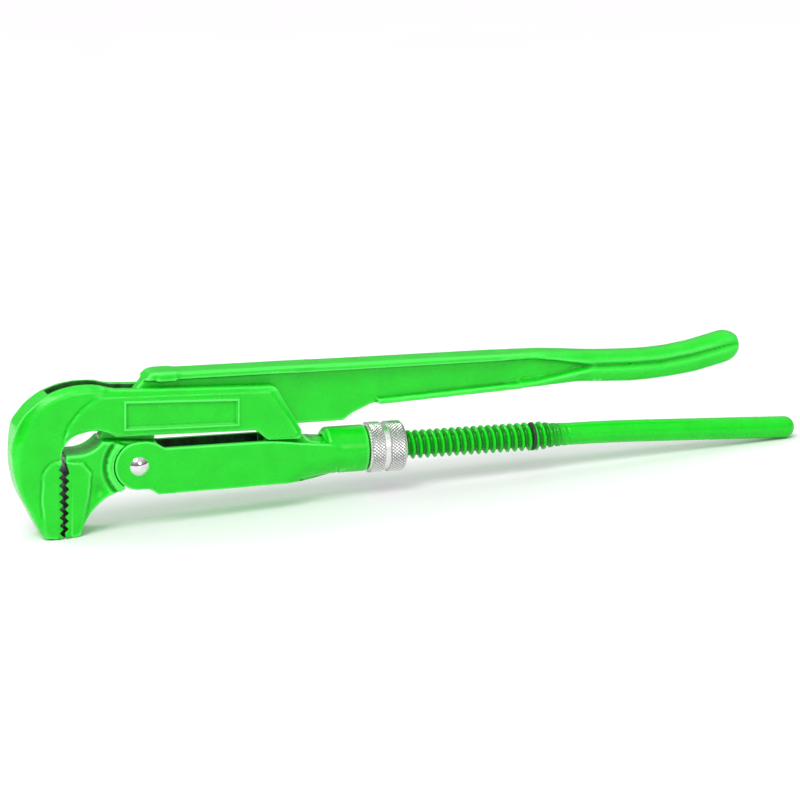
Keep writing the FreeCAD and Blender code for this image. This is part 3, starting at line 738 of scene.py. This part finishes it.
class WRENCH_OT_inner_jaw(bpy.types.Operator):
    """Forge the inner jaw with the upper handle"""
    bl_idname = "wrench.inner_jaw"
    bl_label = "Inner Jaw and Handle"

    def execute(self, context):
        sizes = context.scene.wrench_forging
        piece = forging_copy("inner_jaw_leg", "inner_jaw_and_handle")
        carve(piece, (-40, -12, -30), (INNER_TIPS[0] + TOOTH_DEPTH + 0.9, 12, TEETH_TOP))
        cut(piece, 155.0, keep_below=True)
        grip = self.grip()
        pick(grip)
        piece.select_set(True)
        bpy.context.view_layer.objects.active = piece
        bpy.ops.object.join()
        forge(piece, sizes.handle_grain)
        sculpt(piece, self.relief)
        soften(piece, "edges", sizes.edge_passes, lambda x, y, z: 1 - 0.7 * near_teeth(x, z))
        soften(piece, "grip", sizes.grip_passes,
               lambda x, y, z: max(0.12 * ramp(x, 160, 190), 0.6 * ramp(x, 2, 8) * ramp(z, 33, 35),
                                   0.3 * ramp(x, 95, 100) * (1 - ramp(z, 21.5, 23)),
                                   0.6 * ramp(x, 146, 151) * (1 - ramp(x, 160, 166))))
        smooth_shade(piece)
        finish(piece, "inner_jaw", [enamel()])
        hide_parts("inner_jaw_leg")
        return {"FINISHED"}

    @staticmethod
    def relief(x, y, z):
        """Sinks the jaw's flank between its tooth pad and its collar."""
        side = abs(y)
        if 6.5 < x < 17 and z > 36.0:
            z = 36.0
        if x > -2 or side < 4:
            return x, y, z
        out = math.hypot(x, z - 0.7)
        pad_edge = course(z, ((-24, -21.6), (-20.6, -21.4), (-7.3, -19), (-0.6, -18.4), (2.7, -21)))
        if x < pad_edge and z < 3.9:
            return x, y, z
        if out < 12.3:
            sunk = -0.35 * ramp(side, 8.2, 8.6)
        else:
            groove = 1 - ramp(abs(out - 13.0), 0.2, 1.6)
            pocket = math.exp(-((x + 15.0) ** 2 + (z + 7.0) ** 2) / 10)
            sunk = 0.5 + 0.9 * groove + 1.3 * pocket
        side -= sunk * ramp(side, 4, 8.5)
        return x, math.copysign(side, y), z

    @classmethod
    def grip(cls):
        """The hand grip: a ball drawn out along the handle and pressed into two lobes."""
        deselect()
        bpy.ops.mesh.primitive_uv_sphere_add(segments=128, ring_count=200, radius=MM)
        piece = bpy.context.object
        start, end = 153.0, 246.6
        for vertex in piece.data.vertices:
            a, b, along = vertex.co / MM
            share = 1 - math.acos(min(max(along, -1), 1)) / math.pi
            turn = math.atan2(b, a)
            x = start + (end - start) * share
            side, up = cls.section(x, math.cos(turn), math.sin(turn))
            close_start = min(share / 0.004, 1)
            blunt = max(x - 238.5, 0) / (end - 238.5)
            close_end = (1 - blunt ** 2.6) ** (1 / 2.6)
            middle = 28 + course(x, GRIP_LIFT)
            scale = close_start * close_end
            vertex.co = Vector((x, side * scale, middle + (up - middle) * scale)) * MM
        edit(piece)
        bpy.ops.mesh.remove_doubles(threshold=0.001 * MM)
        bpy.ops.mesh.normals_make_consistent(inside=False)
        close()
        return piece

    @staticmethod
    def section(x, across, height):
        """Width and height of the grip's outline at x, for a direction round it."""
        top, low = course(x, GRIP_TOP), course(x, GRIP_LOW)
        upper, lower = course(x, GRIP_UPPER), course(x, GRIP_LOWER)
        up = (top + low) / 2 + (top - low) / 2 * height
        power = course(x, ((158, 9), (166, 5), (180, 3.0), (240, 2.6)))
        half = course(x, ((158, 6.0), (180, 6.6), (200, 6.9), (236, 6.9)))
        side = half * max(1 - abs(height) ** power, 0) ** (1 / power)
        floor = course(x, ((160, 3.2), (176, 3.7), (190, 5.0), (236, 5.4)))
        soft = course(x, ((158, 0.35), (180, 0.9), (200, 1.2)))
        recess = ramp(up - lower, -soft, soft) * ramp(upper - up, -soft, soft)
        groove = math.exp(-((up - (upper + lower) / 2) / 1.1) ** 2) * ramp(x, 176, 190)
        wide = side - max(side - floor, 0) * max(recess, groove)
        return math.copysign(wide, across), up


GRIP_TOP = ((153, 35.0), (165, 34.9), (175, 34.2), (188, 33.3), (200, 32.9), (208, 32.9),
            (217, 33.5), (226, 34.9), (234, 36.8), (240, 38.3), (247, 38.6))
GRIP_LOW = ((153, 20.6), (165, 21.1), (177, 21.6), (190, 20.9), (200, 20.5), (208, 20.7),
            (217, 21.4), (227, 22.6), (236, 24.6), (243, 26.2), (247, 27.4))
GRIP_UPPER = ((153, 32.6), (160, 32.3), (168, 31.3), (176, 29.9), (186, 28.5), (200, 28.2),
              (212, 28.5), (225, 30.2), (236, 32.6), (247, 35.2))
GRIP_LOWER = ((153, 23.2), (160, 23.6), (168, 24.9), (176, 26.5), (186, 28.1), (200, 27.9),
              (212, 28.2), (225, 29.9), (236, 32.3), (247, 34.9))
GRIP_LIFT = ((225, 0), (247, 5))


class WRENCH_OT_frame(bpy.types.Operator):
    """Forge the frame that carries the pivot and the nut"""
    bl_idname = "wrench.frame"
    bl_label = "Frame"

    def execute(self, context):
        sizes = context.scene.wrench_forging
        piece = forging_copy("frame", "frame_forging")
        forge(piece, sizes.grain)
        sculpt(piece, self.blend)
        soften(piece, "edges", sizes.edge_passes, lambda x, y, z: 1)
        soften(piece, "waist", sizes.crown_passes,
               lambda x, y, z: ramp(x, 68, 74) * (1 - ramp(x, 84, 88)) * ramp(abs(y), 5.8, 7)
               * (1 - ramp(z, 3, 5)))
        # The frame's inside gets the enamel painted dark as shade.
        two_finishes(piece, enamel(), thin_enamel(),
                     lambda at, normal: abs(at.y) < 6.6 and at.x < 66 and normal.z > -0.3)
        smooth_shade(piece)
        finish(piece, "frame", [])
        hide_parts("frame")
        return {"FINISHED"}

    @staticmethod
    def blend(x, y, z):
        """Draws the flat cheeks in towards the round socket."""
        side = abs(y)
        if 50 < x < 80:
            wall = 6.6 * ramp(z, -8.2, -6.6)
            round_side = math.sqrt(max(9.1 ** 2 - z * z, wall ** 2, 0))
            amount = ramp(x, 56, 79) * (1 - ramp(z, 0.5, 3.5))
            wanted = 8.9 + (min(round_side, 8.9) - 8.9) * amount
            if z < -6.6:
                side *= wanted / 8.9
            elif side > 6.3:
                side = 6.3 + (side - 6.3) * (wanted - 6.3) / (8.9 - 6.3)
        return x, math.copysign(side, y), z


class WRENCH_OT_knurled_nut(bpy.types.Operator):
    """Turn the adjusting nut and knurl its two bands"""
    bl_idname = "wrench.knurled_nut"
    bl_label = "Knurled Nut"

    def execute(self, context):
        sizes = context.scene.wrench_nut
        front, back = sizes.front / MM, (sizes.front + sizes.length) / MM
        radius = sizes.diameter / MM / 2
        chamfer, groove, step = 0.8, 0.6, 0.2
        neck_start, neck_end = 97.3, 99.9
        neck = [(along, radius - groove) for along in (neck_start + 0.4, 98.6, neck_end - 0.4)]
        spigot_bore, thread_bore, mouth, mouth_depth = 7.8, 5.78, 6.6, 0.9
        spigot_end, ring_front, ring_back, ring_groove, ring_slope = 100.6, 97.7, 99.5, 8.4, 0.1
        bands = ((front + chamfer, neck_start), (neck_end, back - chamfer))
        skin = []
        for start, end in bands:
            count = round((end - start) / step)
            skin += [(start + (end - start) * index / count, radius) for index in range(count + 1)]
            if start == bands[0][0]:
                skin += neck
        profile = [(front, spigot_bore), (front, radius - chamfer)] + skin + [
            (back, radius - chamfer), (back, mouth), (back - mouth_depth, thread_bore),
            (spigot_end, thread_bore), (spigot_end, spigot_bore), (ring_back, spigot_bore),
            (ring_back - ring_slope, ring_groove), (ring_front + ring_slope, ring_groove),
            (ring_front, spigot_bore)]
        piece = turned("knurled_nut", [(along, 0, out) for along, out in profile],
                       6 * sizes.knurl_count, (1, 0, 0))
        self.knurl(piece, bands, radius, sizes)
        smooth_shade(piece, 32)
        finish(piece, "nut", [bright_plating()])
        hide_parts("adjusting_nut")
        return {"FINISHED"}

    @staticmethod
    def knurl(piece, bands, radius, sizes):
        """Sinks two crossing families of grooves into the bands."""
        pitch = 2 * math.pi * radius / sizes.knurl_count
        depth = sizes.knurl_depth / MM
        for vertex in piece.data.vertices:
            along, side, up = vertex.co / MM
            out = math.hypot(side, up)
            if out < radius - 0.01 or not any(a - 0.01 < along < b + 0.01 for a, b in bands):
                continue
            turn = math.atan2(up, side) / (2 * math.pi) * sizes.knurl_count
            heights = [abs(2 * ((turn + way * along / pitch / 1.15) % 1) - 1) for way in (1, -1)]
            sink = depth * (1 - min(min(1 - height for height in heights) * 1.5, 1))
            scale = (out - sink) / out
            vertex.co = Vector((along, side * scale, up * scale)) * MM


class WRENCH_OT_small_parts(bpy.types.Operator):
    """Turn the domed pivot rivet and the rubber stop ring, and finish the hidden spring ring"""
    bl_idname = "wrench.small_parts"
    bl_label = "Rivet and Rings"

    def execute(self, context):
        self.rivet()
        self.stop_ring()
        wire = frame["nodes"]["nut_retaining_ring"]
        wire.data.materials.clear()
        wire.data.materials.append(spring_wire())
        return {"FINISHED"}

    @staticmethod
    def rivet():
        half, head, dome, shank = 8.9, 3.55, 1.5, 3.2
        rise = PIVOT_RISE / MM
        ball = (head * head + dome * dome) / (2 * dome)
        tilt = math.asin(head / ball)
        arc = [(ball * math.sin(tilt * step / 12), half + dome - ball + ball * math.cos(tilt * step / 12))
               for step in range(12)]
        edge = [(head, half + 0.06), (head - 0.05, half), (shank, half)]
        right = arc + edge
        profile = [(out, side) for out, side in right] + \
            [(out, -side) for out, side in reversed(right)]
        piece = turned("domed_rivet", [(0, side, rise + out) for out, side in profile], 72,
                       (0, 1, 0), (0, 0, rise))
        smooth_shade(piece, 35)
        finish(piece, "frame", [polished_steel()])
        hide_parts("pivot_rivet")

    @staticmethod
    def stop_ring():
        place_along, centre, section = 160.2, 4.7, 1.8
        profile = [(place_along + section / 2 * math.cos(angle), 0,
                    centre + section / 2 * math.sin(angle))
                   for angle in (2 * math.pi * step / 20 for step in range(20))]
        piece = turned("rubber_stop_ring", profile, 96, (1, 0, 0))
        smooth_shade(piece)
        finish(piece, "hook_jaw", [rubber()])
        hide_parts("stop_o_ring")


class WRENCH_OT_stage(bpy.types.Operator):
    """Lay the pale floor and set the lights and the camera"""
    bl_idname = "wrench.stage"
    bl_label = "Stage"

    def execute(self, context):
        self.floor()
        self.lights(context)
        self.camera(context)
        return {"FINISHED"}

    @staticmethod
    def floor():
        deselect()
        bpy.ops.mesh.primitive_plane_add(size=14, location=(0, 3, 0))
        piece = bpy.context.object
        piece.name = "floor"
        pale = Finish("pale_floor")
        base = bpy.context.scene.wrench_finish.floor
        pale.colours(pale.noise(120, 2), [0.985 * part for part in base], base)
        pale.constants(Roughness=0.6)
        piece.data.materials.append(pale.material)

    @staticmethod
    def lights(context):
        world = bpy.data.worlds.new("studio")
        context.scene.world = world
        world.use_nodes = True
        tree = world.node_tree
        sky = tree.nodes.new("ShaderNodeTexCoord")
        parts = tree.nodes.new("ShaderNodeSeparateXYZ")
        band = tree.nodes.new("ShaderNodeValToRGB")
        tree.links.new(sky.outputs["Generated"], parts.inputs["Vector"])
        tree.links.new(parts.outputs["Z"], band.inputs["Fac"])
        tree.links.new(band.outputs["Color"], tree.nodes["Background"].inputs["Color"])
        band.color_ramp.elements[0].position = 0.05
        band.color_ramp.elements[0].color = (0.16, 0.16, 0.17, 1)
        band.color_ramp.elements[1].position = 0.75
        band.color_ramp.elements[1].color = (1, 1, 1, 1)
        tree.nodes["Background"].inputs["Strength"].default_value = 0.85
        bpy.ops.object.light_add(type="SUN", location=(-1, -1, 2))
        sun = bpy.context.object
        sun.name = "key"
        sun.data.energy = 1.75
        sun.data.angle = math.radians(35)
        sun.rotation_euler = Vector((0.35, 0.45, -0.85)).to_track_quat("-Z", "Y").to_euler()
        for name, spot, aim, size, power in (
                ("fill", (0.3, -1.7, 0.7), (0, 0, 0.02), 0.7, 5.0),
                ("rim", (-0.9, 0.5, 0.6), (-0.1, 0, 0.02), 0.4, 3.0)):
            bpy.ops.object.light_add(type="AREA", location=spot)
            lamp = bpy.context.object
            lamp.name = name
            lamp.data.size = size
            lamp.data.energy = power
            lamp.rotation_euler = (Vector(aim) - Vector(spot)).to_track_quat("-Z", "Y").to_euler()
        context.scene.view_settings.view_transform = "Standard"

    @staticmethod
    def camera(context):
        azimuth, elevation, roll = (math.radians(value) for value in (16.3, 14.0, 3.1))
        spot = Vector((-0.37564, -1.26722, 0.36459))
        look = Vector((math.sin(azimuth) * math.cos(elevation),
                       math.cos(azimuth) * math.cos(elevation), -math.sin(elevation)))
        level = Vector((math.cos(azimuth), -math.sin(azimuth), 0))
        upright = level.cross(look)
        right = level * math.cos(roll) - upright * math.sin(roll)
        up = level * math.sin(roll) + upright * math.cos(roll)
        bpy.ops.object.camera_add()
        camera = bpy.context.object
        camera.matrix_world = Matrix.Translation(spot) @ \
            Matrix((right, up, -look)).transposed().to_4x4()
        camera.data.sensor_width = 36
        camera.data.lens = 157.5
        camera.data.clip_end = 40
        context.scene.camera = camera


# ---- add-on ------------------------------------------------------------------------------

OPERATORS = (
    WRENCH_OT_hook_jaw, WRENCH_OT_threaded_leg, WRENCH_OT_teeth, WRENCH_OT_panel_borders,
    WRENCH_OT_inner_jaw, WRENCH_OT_frame, WRENCH_OT_knurled_nut, WRENCH_OT_small_parts, WRENCH_OT_stage,
)


class WRENCH_PT_panel(bpy.types.Panel):
    """Lists the pieces of the wrench"""
    bl_idname = "WRENCH_PT_panel"
    bl_label = "Pipe Wrench"
    bl_space_type = "VIEW_3D"
    bl_region_type = "UI"
    bl_category = "Wrench"

    def draw(self, context):
        for operator in OPERATORS:
            self.layout.operator(operator.bl_idname)


GROUPS = (("wrench_forging", WrenchForging), ("wrench_nut", WrenchNut),
          ("wrench_finish", WrenchFinish))


def register():
    for name, group in GROUPS:
        bpy.utils.register_class(group)
        setattr(bpy.types.Scene, name, PointerProperty(type=group))
    for operator in OPERATORS:
        bpy.utils.register_class(operator)
    bpy.utils.register_class(WRENCH_PT_panel)


def unregister():
    bpy.utils.unregister_class(WRENCH_PT_panel)
    for operator in reversed(OPERATORS):
        bpy.utils.unregister_class(operator)
    for name, group in reversed(GROUPS):
        delattr(bpy.types.Scene, name)
        bpy.utils.unregister_class(group)


def main():
    register()
    bpy.ops.wrench.hook_jaw()
    bpy.ops.wrench.threaded_leg()
    bpy.ops.wrench.teeth()
    bpy.ops.wrench.panel_borders()
    bpy.ops.wrench.inner_jaw()
    bpy.ops.wrench.frame()
    bpy.ops.wrench.knurled_nut()
    bpy.ops.wrench.small_parts()
    bpy.ops.wrench.stage()
    deselect()


if __name__ == "__main__":
    main()
